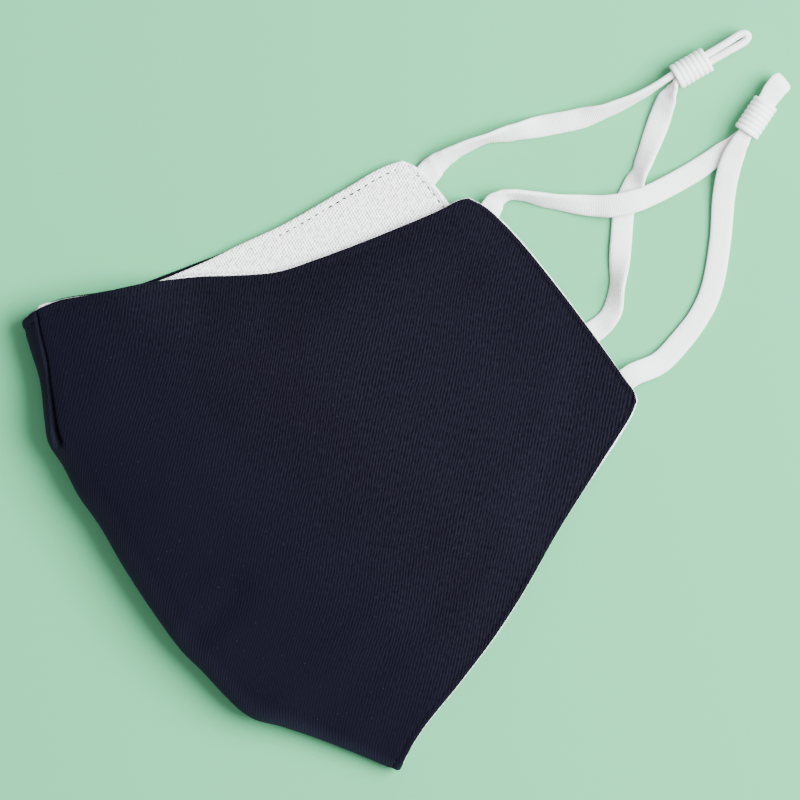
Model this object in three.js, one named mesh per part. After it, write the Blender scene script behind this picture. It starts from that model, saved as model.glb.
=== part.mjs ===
// A reusable cloth face mask, lying folded in half on a table with its ear loops laid out.
// Millimetres, +Z up. The folded half lies in X and Y: the fold is on the left, the ear edge on the
// right, the nose at the top and the chin at the bottom. The origin is under the middle of the cloth.
import * as THREE from 'three';
import { mergeVertices } from 'three/addons/utils/BufferGeometryUtils.js';

// Cloth sizes
const HALF_WIDTH = 118.5; // folded mask, fold to ear edge
const HALF_HEIGHT = 133; // folded mask, chin tip to nose
const OUTER_THICKNESS = 1.0; // twill shell
const LINING_THICKNESS = 1.0; // white lining
const LAYER_GAP = 0.3; // between the shell and the lining
const LINING_REVEAL = 0.4; // how far the lining shows past the shell's hem
const RESTING_GAP = 0.4; // between the two linings where the halves lie on each other
const HOLLOW_HEIGHT = 8; // most that the two linings stand apart
const BEND_REACH = 7; // how far in from the fold the cloth is still turning
const EDGE_DROOP = 0.8; // sag of the upper half where it passes the lower half's edge
const DROOP_RUN = 8; // distance in which it sags
const DART_DEPTH = 1.1; // groove of the nose dart's seam
const DART_POINT = 0.79; // where the dart ends, as a share of the fold from chin tip to nose
const DIMPLE_DEPTH = 2.0; // pucker at the dart's point

// Ear loop and sleeve sizes
const BAND_WIDTH = 5.2; // elastic, lying flat
const BAND_THICKNESS = 1.5;
const SEAT_GAP = 0.3; // clearance between pieces that meet
const SLEEVE_LENGTH = 8.4;
const SLEEVE_RADIUS = 3.2; // over the rings
const RING_DEPTH = 0.45;
const RING_COUNT = 7;
const BORE_RADIUS = 2.3;
const SQUEEZED_WIDTH = 3.4; // the elastic inside a sleeve

// Mesh fineness
const ROWS = 36;
const CURVE_SAMPLES = 240;
const BAND_SIDES = 8;
const BAND_STEPS = 66;
const SLEEVE_SIDES = 14;

const HALF_STACK = OUTER_THICKNESS + LAYER_GAP + LINING_THICKNESS;
const NAVY = 0x1e1e2c;
const WHITE_COTTON = 0xe6e6e8;
const WHITE_ELASTIC = 0xe9eaec;
const WHITE_SILICONE = 0xe4e3e9;

// Outlines of the two halves, as shares of HALF_WIDTH and HALF_HEIGHT. Each edge runs in the sense
// that its name gives, and neighbours share their corner points.
const FOLD_CHIN_TO_NOSE = [
  [0.172, 0.000], [0.163, 0.011], [0.135, 0.059], [0.098, 0.120], [0.053, 0.187], [0.024, 0.223],
  [0.014, 0.249], [0.009, 0.287], [0.006, 0.345], [0.001, 0.394], [0.008, 0.488], [0.021, 0.579],
  [0.033, 0.637], [0.037, 0.668], [0.040, 0.707], [0.054, 0.763], [0.062, 0.812], [0.084, 0.845],
  [0.126, 0.903], [0.149, 0.952], [0.171, 0.999],
];
const UPPER_HALF = {
  earEdge: [
    [0.972, 0.225], [0.981, 0.240], [0.984, 0.265], [0.992, 0.355], [0.998, 0.460], [1.000, 0.548],
    [0.997, 0.603], [0.991, 0.639], [0.977, 0.670],
  ],
  topEdge: [
    [0.977, 0.670], [0.960, 0.678], [0.918, 0.687], [0.799, 0.720], [0.683, 0.756], [0.608, 0.783],
    [0.545, 0.822], [0.485, 0.864], [0.415, 0.905], [0.318, 0.953], [0.251, 0.988], [0.202, 1.000],
    [0.171, 0.999],
  ],
  bottomEdge: [
    [0.972, 0.225], [0.925, 0.204], [0.830, 0.175], [0.700, 0.138], [0.576, 0.097], [0.478, 0.070],
    [0.373, 0.048], [0.264, 0.029], [0.200, 0.011], [0.172, 0.000],
  ],
};
const LOWER_HALF = {
  earEdge: [
    [0.907, 0.374], [0.913, 0.392], [0.919, 0.421], [0.927, 0.510], [0.935, 0.598], [0.940, 0.689],
    [0.942, 0.726], [0.939, 0.767], [0.925, 0.789],
  ],
  topEdge: [
    [0.925, 0.789], [0.899, 0.800], [0.870, 0.808], [0.805, 0.819], [0.675, 0.840], [0.613, 0.855],
    [0.531, 0.876], [0.437, 0.904], [0.384, 0.922], [0.319, 0.954], [0.251, 0.989], [0.202, 1.000],
    [0.171, 0.999],
  ],
  bottomEdge: [
    [0.907, 0.374], [0.860, 0.343], [0.729, 0.270], [0.548, 0.174], [0.363, 0.083], [0.172, 0.000],
  ],
};

// How far the linings stand apart, as shares of HOLLOW_HEIGHT, at places along the fold: half-way to
// the ear edge and at the fold itself. The bend is a share of BEND_REACH.
const SECTIONS = [
  { along: 0.00, middle: 0.42, fold: 0.08, bend: 0.45 },
  { along: 0.12, middle: 0.55, fold: 0.30, bend: 0.60 },
  { along: 0.24, middle: 0.72, fold: 0.62, bend: 0.85 },
  { along: 0.40, middle: 0.85, fold: 0.90, bend: 1.00 },
  { along: 0.60, middle: 0.90, fold: 1.00, bend: 1.00 },
  { along: 0.79, middle: 0.88, fold: 0.95, bend: 0.95 },
  { along: 0.92, middle: 0.84, fold: 0.78, bend: 0.90 },
  { along: 1.00, middle: 0.80, fold: 0.60, bend: 0.80 },
];

// Soft valleys pressed into the upper half, from one place to another in shares of HALF_WIDTH and
// HALF_HEIGHT, with their depth and their reach to each side in millimetres.
const CREASES = [
  { fromX: 0.56, fromY: 0.735, toX: 0.86, toY: 0.585, depth: 0.7, reach: 8 },
  { fromX: 0.44, fromY: 0.80, toX: 0.54, toY: 0.69, depth: 0.6, reach: 7 },
  { fromX: -0.02, fromY: 0.385, toX: 0.15, toY: 0.415, depth: 0.8, reach: 6 },
  { fromX: 0.20, fromY: 0.52, toX: 0.62, toY: 0.36, depth: 0.5, reach: 12 },
];

// Columns of the cloth's grid: shares of the way from the ear edge to the bend on the two flat arms,
// and angles round the bend. The dart's groove runs along one angle of the upper side.
const UPPER_ARM = [0, 0.05, 0.12, 0.21, 0.32, 0.43, 0.54, 0.65, 0.76, 0.86, 0.94];
const BEND_DEGREES = [90, 76, 62, 48, 24, 0, -24, -48, -90];
const LOWER_ARM = [0.88, 0.7, 0.5, 0.3, 0.12, 0];
const DART_DEGREES = 62;

// The free stretches of the two elastics, laid out by hand. x is measured from the ear edge and y from
// EAR_LEVEL; rise is the height of the underside above the table; width is a share of BAND_WIDTH; lean
// turns the band from lying flat, 0, to standing on its edge, 90.
const EAR_LEVEL = 0.451 * HALF_HEIGHT; // middle of the upper half's ear edge
const UPPER_LOOP = {
  half: 'upper', topRoot: 0.91, bottomRoot: 0.085,
  sleeve: { x: 55.0, y: 0.1, heading: 16.4, stacked: true, bight: 6.8 },
  outward: [
    { x: 3.5, y: 25.0, rise: 1.2, width: 1, lean: 35 },
    { x: 6.1, y: 23.2, rise: 0.3, width: 0.9, lean: 68 },
    { x: 11.0, y: 17.0, rise: 0, width: 0.9, lean: 50 },
    { x: 17.9, y: 9.7, rise: 1.0, width: 0.95, lean: 16 },
    { x: 21.2, y: 6.9, rise: 2.2, width: 1, lean: 4 },
    { x: 25.2, y: 4.7, rise: 2.5, width: 1, lean: 0 },
    { x: 29.4, y: 3.2, rise: 1.7, width: 0.95, lean: 0 },
    { x: 40.0, y: 1.0, rise: 0, width: 0.95, lean: 0 },
    { x: 47.5, y: 0.3, rise: 0.4, width: 0.85, lean: 0 },
    { x: 51.8, y: 0.0, rise: 1.1, width: 0.7, lean: 0 },
  ],
  homeward: [
    { x: 52.4, y: -0.8, rise: 3.1, width: 0.8, lean: 0 },
    { x: 49.6, y: -2.1, rise: 2.4, width: 0.95, lean: 0 },
    { x: 46.4, y: -4.1, rise: 1.8, width: 1, lean: 0 },
    { x: 42.0, y: -7.8, rise: 0.5, width: 1, lean: 0 },
    { x: 34.8, y: -15.1, rise: 0, width: 0.95, lean: 0 },
    { x: 26.2, y: -22.2, rise: 0, width: 0.95, lean: 0 },
    { x: 20.3, y: -25.0, rise: 0, width: 0.95, lean: 0 },
    { x: 13.5, y: -26.6, rise: 0, width: 1, lean: 0 },
    { x: 6.5, y: -27.3, rise: 0.6, width: 1, lean: 0 },
  ],
};
const LOWER_LOOP = {
  half: 'lower', topRoot: 0.895, bottomRoot: 0.09,
  sleeve: { x: 50.9, y: 20.0, heading: -9.6, stacked: false, bight: 11.2 },
  outward: [
    { x: -3.3, y: 40.1, rise: 0.2, width: 1, lean: 20 },
    { x: 2.7, y: 38.9, rise: 0, width: 0.95, lean: 62 },
    { x: 8.9, y: 37.0, rise: 0, width: 0.95, lean: 72 },
    { x: 14.7, y: 34.1, rise: 0, width: 0.95, lean: 45 },
    { x: 21.1, y: 30.8, rise: 0, width: 0.95, lean: 8 },
    { x: 27.6, y: 27.2, rise: 0, width: 0.95, lean: 18 },
    { x: 34.7, y: 24.1, rise: 0, width: 0.9, lean: 55 },
    { x: 42.7, y: 21.9, rise: 0.5, width: 0.8, lean: 70 },
    { x: 47.6, y: 21.2, rise: 1.1, width: 0.7, lean: 82 },
  ],
  homeward: [
    { x: 48.2, y: 18.3, rise: 1.1, width: 0.75, lean: 75 },
    { x: 45.5, y: 17.1, rise: 0.4, width: 0.9, lean: 45 },
    { x: 41.4, y: 14.6, rise: 0, width: 0.95, lean: 15 },
    { x: 33.8, y: 10.3, rise: 0, width: 0.95, lean: 35 },
    { x: 30.9, y: 8.7, rise: 0, width: 0.95, lean: 48 },
    { x: 27.6, y: 7.2, rise: 0, width: 0.95, lean: 14 },
    { x: 23.4, y: 5.0, rise: 0, width: 0.95, lean: 0 },
    { x: 17.5, y: -0.7, rise: 0, width: 0.95, lean: 0 },
    { x: 10.3, y: -7.9, rise: 0, width: 0.95, lean: 50 },
    { x: 5.0, y: -11.8, rise: 0, width: 0.95, lean: 25 },
    { x: -1.5, y: -12.1, rise: 0, width: 1, lean: 0 },
    { x: -6.0, y: -10.2, rise: 0, width: 1, lean: 0 },
  ],
};

const smooth = (x) => THREE.MathUtils.smoothstep(x, 0, 1);

// A curve through outline points given as shares of the half's width and height.
function outlineCurve(shares) {
  const points = shares.map(([x, y]) => new THREE.Vector3(x * HALF_WIDTH, y * HALF_HEIGHT, 0));
  const curve = new THREE.CatmullRomCurve3(points, false, 'centripetal');
  curve.arcLengthDivisions = CURVE_SAMPLES * 2;
  return curve;
}

const foldCurve = outlineCurve(FOLD_CHIN_TO_NOSE);

function halfCurves(table) {
  return {
    ear: outlineCurve(table.earEdge),
    top: outlineCurve(table.topEdge),
    bottom: outlineCurve(table.bottomEdge),
  };
}

const halves = { upper: halfCurves(UPPER_HALF), lower: halfCurves(LOWER_HALF) };

// A place on a half, seen from above: s runs from the ear edge to the fold, t from chin to nose.
function planPoint(half, s, t) {
  const { ear, top, bottom } = halves[half];
  const point = ear.getPointAt(t).multiplyScalar(1 - s);
  point.addScaledVector(foldCurve.getPointAt(t), s);
  point.addScaledVector(bottom.getPointAt(s), 1 - t);
  point.addScaledVector(top.getPointAt(s), t);
  point.addScaledVector(bottom.getPointAt(0), -(1 - s) * (1 - t));
  point.addScaledVector(foldCurve.getPointAt(0), -s * (1 - t));
  point.addScaledVector(top.getPointAt(0), -(1 - s) * t);
  point.addScaledVector(foldCurve.getPointAt(1), -s * t);
  return point;
}

// The outward step that a hem takes past the outline, where the place is on an open edge.
function hemStep(half, s, t, reveal) {
  const step = new THREE.Vector3();
  const { ear, top, bottom } = halves[half];
  const outward = (tangent, turn) => new THREE.Vector3(turn * tangent.y, -turn * tangent.x, 0);
  if (s === 0) step.addScaledVector(outward(ear.getTangentAt(t), 1), reveal);
  if (t === 0) step.addScaledVector(outward(bottom.getTangentAt(s), -1), reveal);
  if (t === 1) step.addScaledVector(outward(top.getTangentAt(s), 1), reveal);
  return step;
}

function sectionAt(t) {
  const last = SECTIONS.length - 1;
  let row = SECTIONS.findIndex((section, i) => i < last && t <= SECTIONS[i + 1].along);
  if (row < 0) row = last - 1;
  const low = SECTIONS[row];
  const high = SECTIONS[row + 1];
  const share = smooth((t - low.along) / (high.along - low.along));
  return {
    middle: THREE.MathUtils.lerp(low.middle, high.middle, share) * HOLLOW_HEIGHT,
    fold: THREE.MathUtils.lerp(low.fold, high.fold, share) * HOLLOW_HEIGHT,
    bend: THREE.MathUtils.lerp(low.bend, high.bend, share) * BEND_REACH,
  };
}

// Height of the space between the linings.
function hollowHeight(s, section) {
  if (s < 0.5) return RESTING_GAP + section.middle * smooth(s / 0.5);
  return RESTING_GAP + THREE.MathUtils.lerp(section.middle, section.fold, smooth(2 * s - 1));
}

const lowerOutline = [
  ...halves.lower.ear.getSpacedPoints(40),
  ...halves.lower.top.getSpacedPoints(60),
  ...foldCurve.getSpacedPoints(80).reverse(),
  ...halves.lower.bottom.getSpacedPoints(60).reverse(),
];

// How far a place lies outside the lower half's outline, seen from above; 0 inside it.
function distancePastLowerHalf(place) {
  let nearest = Infinity;
  let inside = false;
  const foot = new THREE.Vector3();
  const line = new THREE.Line3();
  for (let i = 0; i < lowerOutline.length; i++) {
    const a = lowerOutline[i];
    const b = lowerOutline[(i + 1) % lowerOutline.length];
    if (a.distanceToSquared(b) === 0) continue;
    line.set(a, b).closestPointToPoint(place, true, foot);
    nearest = Math.min(nearest, foot.distanceTo(place));
    const crosses = a.y > place.y !== b.y > place.y;
    if (crosses && place.x < a.x + ((b.x - a.x) * (place.y - a.y)) / (b.y - a.y)) inside = !inside;
  }
  return inside ? 0 : nearest;
}

// Depth of the soft valleys at a place.
function creaseDepth(place) {
  const foot = new THREE.Vector3();
  return CREASES.reduce((sum, { fromX, fromY, toX, toY, depth, reach }) => {
    const start = new THREE.Vector3(fromX * HALF_WIDTH, fromY * HALF_HEIGHT, 0);
    const end = new THREE.Vector3(toX * HALF_WIDTH, toY * HALF_HEIGHT, 0);
    new THREE.Line3(start, end).closestPointToPoint(place, true, foot);
    return sum + depth * (1 - smooth(foot.distanceTo(place) / reach));
  }, 0);
}

// Height of the upper half's outside, above the table.
function upperSkinHeight(place, s, section) {
  const flat = new THREE.Vector3(place.x, place.y, 0);
  const droop = EDGE_DROOP * smooth(distancePastLowerHalf(flat) / DROOP_RUN);
  return 2 * HALF_STACK + hollowHeight(s, section) - droop - creaseDepth(flat);
}

// Depth of the nose dart's groove at a share of the fold: a shallow seam that ends in a deeper pucker.
function dartDepth(t) {
  const puckerReach = 0.045;
  if (t < DART_POINT - puckerReach) return 0;
  const pucker = DIMPLE_DEPTH * Math.max(0, 1 - Math.abs(t - DART_POINT) / puckerReach);
  return t < DART_POINT ? pucker : Math.max(pucker, DART_DEPTH);
}

// One place on a cloth layer. inset is its depth below the shell's outside.
function layerPoint(column, t, inset, reveal) {
  const section = sectionAt(t);
  const tip = foldCurve.getPointAt(t);
  const half = column.half;
  const inward = planPoint(half, 0, t).sub(tip);
  const rowLength = inward.length();
  inward.normalize();
  const bendShare = section.bend / rowLength;
  const foldSkin = 2 * HALF_STACK + hollowHeight(1, section);
  const middleHeight = foldSkin / 2;
  if (column.angle === undefined) {
    const s = column.share * (1 - bendShare);
    const place = planPoint(half, s, t).add(hemStep(half, s, t, reveal));
    place.z = half === 'upper' ? upperSkinHeight(place, s, section) - inset : inset;
    return place;
  }
  const angle = THREE.MathUtils.degToRad(Math.abs(column.angle));
  const depth = inset + (section.bend - inset) * (1 - Math.cos(angle));
  const s = 1 - depth / rowLength;
  const place = planPoint(half, s, t).add(hemStep(half, s, t, reveal));
  const flatHeight = half === 'upper' ? upperSkinHeight(place, s, section) - inset : inset;
  place.z = middleHeight + (flatHeight - middleHeight) * Math.sin(angle);
  if (column.angle === DART_DEGREES) {
    const groove = dartDepth(t);
    place.addScaledVector(inward, groove * Math.cos(angle));
    place.z -= groove * Math.sin(angle);
  }
  return place;
}

// A closed solid between two grids of points that run over the same rows and columns.
function solidBetween(outerGrid, innerGrid) {
  const rows = outerGrid.length;
  const columns = outerGrid[0].length;
  const positions = [];
  for (const grid of [outerGrid, innerGrid]) {
    for (const row of grid) {
      for (const point of row) positions.push(point.x, point.y, point.z);
    }
  }
  const at = (side, r, c) => side * rows * columns + r * columns + c;
  const faces = [];
  const quad = (a, b, c, d) => faces.push(a, b, c, a, c, d);
  for (let r = 0; r < rows - 1; r++) {
    for (let c = 0; c < columns - 1; c++) {
      quad(at(0, r, c), at(0, r + 1, c), at(0, r + 1, c + 1), at(0, r, c + 1));
      quad(at(1, r, c), at(1, r, c + 1), at(1, r + 1, c + 1), at(1, r + 1, c));
    }
  }
  for (let r = 0; r < rows - 1; r++) {
    quad(at(0, r, 0), at(1, r, 0), at(1, r + 1, 0), at(0, r + 1, 0));
    const end = columns - 1;
    quad(at(0, r, end), at(0, r + 1, end), at(1, r + 1, end), at(1, r, end));
  }
  for (let c = 0; c < columns - 1; c++) {
    quad(at(0, 0, c), at(0, 0, c + 1), at(1, 0, c + 1), at(1, 0, c));
    const end = rows - 1;
    quad(at(0, end, c), at(1, end, c), at(1, end, c + 1), at(0, end, c + 1));
  }
  const geometry = new THREE.BufferGeometry();
  geometry.setAttribute('position', new THREE.Float32BufferAttribute(positions, 3));
  geometry.setIndex(faces);
  return geometry;
}

const clothColumns = [
  ...UPPER_ARM.map((share) => ({ half: 'upper', share })),
  ...BEND_DEGREES.map((angle) => ({ half: angle >= 0 ? 'upper' : 'lower', angle })),
  ...LOWER_ARM.map((share) => ({ half: 'lower', share })),
];

// A layer of cloth, folded round the pocket. Rows crowd a little at the dart's point.
function clothLayer(outsideInset, thickness, reveal) {
  const rows = [];
  for (let r = 0; r < ROWS; r++) rows.push(r / (ROWS - 1));
  const nearest = rows.reduce((best, t) => (
    Math.abs(t - DART_POINT) < Math.abs(best - DART_POINT) ? t : best));
  rows[rows.indexOf(nearest)] = DART_POINT;
  const grid = (inset) => rows.map((t) => (
    clothColumns.map((column) => layerPoint(column, t, inset, reveal))));
  return solidBetween(grid(outsideInset), grid(outsideInset + thickness));
}

// The place on a half's ear edge where a band starts, with the way out of the cloth there.
function bandRoot(half, t) {
  const edge = planPoint(half, 0, t);
  const out = hemStep(half, 0, t, 1);
  const place = edge.clone().addScaledVector(out, LINING_REVEAL + SEAT_GAP);
  const skin = half === 'upper' ? upperSkinHeight(edge, 0, sectionAt(t)) : HALF_STACK;
  return { place, out, middle: skin - HALF_STACK / 2 };
}

const bandHalfHeight = (width, lean) => {
  const tilt = THREE.MathUtils.degToRad(lean);
  return Math.hypot((width / 2) * Math.sin(tilt), (BAND_THICKNESS / 2) * Math.cos(tilt));
};

// The row of one free point of a band, in the mask's own frame.
function freeStation({ x, y, rise, width, lean }) {
  const wide = width * BAND_WIDTH;
  const height = rise + bandHalfHeight(wide, lean);
  return { place: new THREE.Vector3(HALF_WIDTH + x, EAR_LEVEL + y, height), width: wide, lean };
}

// The two stations that take a band straight out of the hem.
function rootStations(half, t) {
  const { place, out, middle } = bandRoot(half, t);
  const start = new THREE.Vector3(place.x, place.y, middle);
  const clear = start.clone().addScaledVector(out, BAND_THICKNESS);
  return [start, clear].map((point) => ({ place: point, width: BAND_WIDTH, lean: 0 }));
}

const sleeveAxisHeight = SLEEVE_RADIUS;

function sleeveFrame({ x, y, heading }) {
  const turn = THREE.MathUtils.degToRad(heading);
  const along = new THREE.Vector3(Math.cos(turn), Math.sin(turn), 0);
  const start = new THREE.Vector3(HALF_WIDTH + x, EAR_LEVEL + y, sleeveAxisHeight);
  return { start, along, across: new THREE.Vector3(-along.y, along.x, 0) };
}

// Stations through a sleeve, round the bight and back. Stacked strands lie over each other, and the
// others stand side by side on their edges.
function sleeveStations(sleeve) {
  const { start, along, across } = sleeveFrame(sleeve);
  const apart = (BAND_THICKNESS + SEAT_GAP) / 2;
  const side = sleeve.stacked ? new THREE.Vector3(0, 0, -apart) : across.clone().multiplyScalar(apart);
  const lean = sleeve.stacked ? 0 : 90;
  const station = (reach, offset, width) => ({
    place: start.clone().addScaledVector(along, reach).addScaledVector(side, offset), width, lean,
  });
  const tip = SLEEVE_LENGTH + sleeve.bight - BAND_THICKNESS / 2;
  const bightWidth = (SQUEEZED_WIDTH + BAND_WIDTH) / 2;
  const way = [
    station(0, 1, SQUEEZED_WIDTH),
    station(SLEEVE_LENGTH / 2, 1, SQUEEZED_WIDTH),
    station(SLEEVE_LENGTH, 1, SQUEEZED_WIDTH),
    station(SLEEVE_LENGTH + sleeve.bight * 0.45, 1, bightWidth),
  ];
  const turn = [60, 90, 120].map((degrees) => {
    const angle = THREE.MathUtils.degToRad(degrees);
    return station(tip - apart + apart * Math.sin(angle), Math.cos(angle), bightWidth);
  });
  const back = way.map(({ place, width }) => ({
    place: place.clone().addScaledVector(side, -2), width, lean })).reverse();
  return [...way, station(tip - apart, 1, bightWidth), ...turn,
    station(tip - apart, -1, bightWidth), ...back];
}

function loopStations(loop) {
  return [
    ...rootStations(loop.half, loop.topRoot),
    ...loop.outward.map(freeStation),
    ...sleeveStations(loop.sleeve),
    ...loop.homeward.map(freeStation),
    ...rootStations(loop.half, loop.bottomRoot).reverse(),
  ];
}

// A flat band swept along its stations: an oval section whose long side is level where lean is 0.
function bandGeometry(stations) {
  const route = new THREE.CatmullRomCurve3(stations.map((station) => station.place), false, 'centripetal');
  const rings = [];
  const side = new THREE.Vector3();
  const up = new THREE.Vector3(0, 0, 1);
  const steps = [];
  stations.slice(1).forEach((station, i) => {
    const stretch = station.place.distanceTo(stations[i].place);
    const parts = Math.max(1, Math.round((stretch * BAND_STEPS) / (2 * HALF_HEIGHT)));
    for (let k = 0; k < parts; k++) steps.push(i + k / parts);
  });
  steps.push(stations.length - 1);
  for (const step of steps) {
    const i = Math.min(Math.floor(step), stations.length - 2);
    const share = step - i;
    const centre = route.getPoint(step / (stations.length - 1));
    const tangent = route.getTangent(step / (stations.length - 1));
    const level = new THREE.Vector3().crossVectors(tangent, up);
    if (level.length() > 0.25) {
      level.normalize();
      if (side.lengthSq() > 0 && level.dot(side) < 0) level.negate();
      side.copy(level);
    }
    const width = THREE.MathUtils.lerp(stations[i].width, stations[i + 1].width, share);
    const lean = THREE.MathUtils.lerp(stations[i].lean, stations[i + 1].lean, share);
    const wide = side.clone().applyAxisAngle(tangent, THREE.MathUtils.degToRad(lean));
    const thick = new THREE.Vector3().crossVectors(tangent, wide).normalize();
    const ring = [];
    for (let k = 0; k < BAND_SIDES; k++) {
      const angle = ((k + 0.5) / BAND_SIDES) * Math.PI * 2;
      ring.push(centre.clone()
        .addScaledVector(wide, (Math.cos(angle) * width) / 2)
        .addScaledVector(thick, (Math.sin(angle) * BAND_THICKNESS) / 2));
    }
    const sunk = Math.min(0, ...ring.map((point) => point.z));
    ring.forEach((point) => { point.z -= sunk; });
    rings.push(ring);
  }
  return closedTube(rings);
}

// A tube through rings of points, closed by a fan at each end.
function closedTube(rings) {
  const sides = rings[0].length;
  const positions = rings.flat().flatMap((point) => [point.x, point.y, point.z]);
  const faces = [];
  for (let r = 0; r < rings.length - 1; r++) {
    for (let k = 0; k < sides; k++) {
      const next = (k + 1) % sides;
      const [a, b] = [r * sides + k, r * sides + next];
      faces.push(a, b, b + sides, a, b + sides, a + sides);
    }
  }
  const last = (rings.length - 1) * sides;
  for (let k = 1; k < sides - 1; k++) {
    faces.push(0, k + 1, k);
    faces.push(last, last + k, last + k + 1);
  }
  const geometry = new THREE.BufferGeometry();
  geometry.setAttribute('position', new THREE.Float32BufferAttribute(positions, 3));
  geometry.setIndex(faces);
  return geometry;
}

// The silicone sleeve: a short tube with rings round it, turned about its own axis.
function sleeveGeometry() {
  const pitch = SLEEVE_LENGTH / RING_COUNT;
  const profile = [new THREE.Vector2(BORE_RADIUS, 0)];
  for (let ring = 0; ring < RING_COUNT; ring++) {
    const foot = ring * pitch;
    profile.push(new THREE.Vector2(SLEEVE_RADIUS - RING_DEPTH, foot));
    profile.push(new THREE.Vector2(SLEEVE_RADIUS, foot + pitch * 0.3));
    profile.push(new THREE.Vector2(SLEEVE_RADIUS, foot + pitch * 0.7));
  }
  profile.push(new THREE.Vector2(SLEEVE_RADIUS - RING_DEPTH, SLEEVE_LENGTH));
  profile.push(new THREE.Vector2(BORE_RADIUS, SLEEVE_LENGTH));
  profile.push(new THREE.Vector2(BORE_RADIUS, 0));
  const turned = new THREE.LatheGeometry(profile, SLEEVE_SIDES);
  turned.deleteAttribute('uv');
  turned.deleteAttribute('normal');
  return mergeVertices(turned, 1e-4);
}

function cloth(color) {
  return new THREE.MeshStandardMaterial({ color, roughness: 0.9, metalness: 0, side: THREE.DoubleSide });
}

function namedMesh(name, geometry, material) {
  const mesh = new THREE.Mesh(geometry, material);
  mesh.name = name;
  return mesh;
}

function sleeveMesh(name, sleeve) {
  const mesh = namedMesh(name, sleeveGeometry(), new THREE.MeshStandardMaterial({
    color: WHITE_SILICONE, roughness: 0.45, metalness: 0 }));
  const { start, along } = sleeveFrame(sleeve);
  mesh.quaternion.setFromUnitVectors(new THREE.Vector3(0, 1, 0), along);
  mesh.position.copy(start);
  return mesh;
}

const mask = new THREE.Group();
const shell = namedMesh('outer_shell', clothLayer(0, OUTER_THICKNESS, 0), cloth(NAVY));
const lining = namedMesh('lining',
  clothLayer(OUTER_THICKNESS + LAYER_GAP, LINING_THICKNESS, LINING_REVEAL), cloth(WHITE_COTTON));
mask.add(shell, lining);
mask.add(namedMesh('ear_loop_upper', bandGeometry(loopStations(UPPER_LOOP)), cloth(WHITE_ELASTIC)));
mask.add(namedMesh('ear_loop_lower', bandGeometry(loopStations(LOWER_LOOP)), cloth(WHITE_ELASTIC)));
mask.add(sleeveMesh('cord_sleeve_upper', UPPER_LOOP.sleeve));
mask.add(sleeveMesh('cord_sleeve_lower', LOWER_LOOP.sleeve));

// The origin goes under the middle of the cloth.
const clothBox = new THREE.Box3().setFromObject(shell).union(new THREE.Box3().setFromObject(lining));
const middle = clothBox.getCenter(new THREE.Vector3());
mask.position.set(-middle.x, -middle.y, -clothBox.min.z);
mask.updateMatrixWorld(true);

export default mask;
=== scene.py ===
"""A navy twill face mask, folded flat on a pale table, with its white elastic ear loops laid out."""
import math

import bpy
import numpy as np
from mathutils import Matrix, Vector


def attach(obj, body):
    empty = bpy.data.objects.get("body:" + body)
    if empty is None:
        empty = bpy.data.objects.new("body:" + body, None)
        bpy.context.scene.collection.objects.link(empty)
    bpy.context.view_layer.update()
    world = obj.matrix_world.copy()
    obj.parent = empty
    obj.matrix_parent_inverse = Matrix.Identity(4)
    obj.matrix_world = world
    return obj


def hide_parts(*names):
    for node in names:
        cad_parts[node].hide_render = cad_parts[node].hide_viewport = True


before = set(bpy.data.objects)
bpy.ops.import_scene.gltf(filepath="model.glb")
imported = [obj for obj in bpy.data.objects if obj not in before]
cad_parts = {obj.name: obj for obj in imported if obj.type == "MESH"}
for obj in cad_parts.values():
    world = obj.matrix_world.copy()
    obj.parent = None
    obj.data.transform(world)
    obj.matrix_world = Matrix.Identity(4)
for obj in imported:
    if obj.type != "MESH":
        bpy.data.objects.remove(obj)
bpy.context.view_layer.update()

# Camera. The mask is seen from straight above through a long lens, and the picture is turned so that
# the nose points up and to the left. Its square covers about 182 mm of the table.
MM = 0.001
CAMERA_TURN = math.radians(-40)
CAMERA_HEIGHT = 1.6
PICTURE_SPAN = 181.8 * MM
PICTURE_MIDDLE = (15.0 * MM, -2.6 * MM)
SENSOR = 36

camera = bpy.data.objects.new("camera", bpy.data.cameras.new("camera"))
bpy.context.scene.collection.objects.link(camera)
camera.data.sensor_width = SENSOR
camera.data.lens = SENSOR * CAMERA_HEIGHT / PICTURE_SPAN
camera.data.clip_start = 0.05
camera.data.clip_end = 20
camera.matrix_world = Matrix.Translation((*PICTURE_MIDDLE, CAMERA_HEIGHT)) @ Matrix.Rotation(
    CAMERA_TURN, 4, "Z")
bpy.context.scene.camera = camera


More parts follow.
